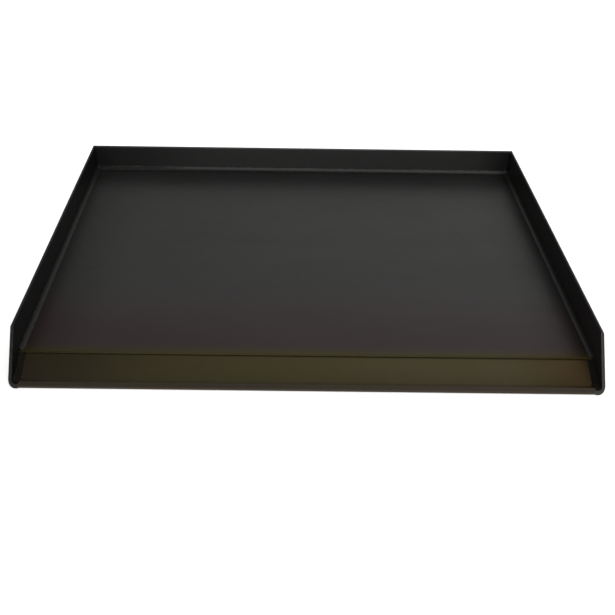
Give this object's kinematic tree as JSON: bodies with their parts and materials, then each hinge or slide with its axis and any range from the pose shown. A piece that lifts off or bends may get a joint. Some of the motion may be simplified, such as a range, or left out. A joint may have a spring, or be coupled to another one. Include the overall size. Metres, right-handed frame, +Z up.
{
  "type": "oil drain pan",
  "caption": "Low rectangular sheet metal drain pan: raised floor, walls on the sides and back, and an open front sloping down to a shallow gutter behind a low hemmed lip.",
  "frame": {"origin": "middle of the footprint, at ground level", "axes": "+X to the right along the width, +Y from the open front to the back wall, +Z up"},
  "size_m": [0.6, 0.5, 0.05],
  "materials": {
    "black_satin_paint": "satin",
    "oil_filmed_black_paint": "satin",
    "painted_seam_bead": "satin",
    "black_primer": "matt"
  },
  "bodies": {
    "root": {"floor_panel": "black_satin_paint", "front_trough": "oil_filmed_black_paint", "left_wall": "black_satin_paint", "right_wall": "black_satin_paint", "back_wall": "black_satin_paint", "left_seam_bead": "painted_seam_bead", "right_seam_bead": "painted_seam_bead", "back_seam_bead": "painted_seam_bead", "left_ramp_seam": "painted_seam_bead", "right_ramp_seam": "painted_seam_bead", "back_left_corner_weld": "painted_seam_bead", "back_right_corner_weld": "painted_seam_bead", "back_ledge": "black_primer", "left_stiffener": "black_primer", "middle_stiffener": "black_primer", "right_stiffener": "black_primer"}
  },
  "joints": []
}
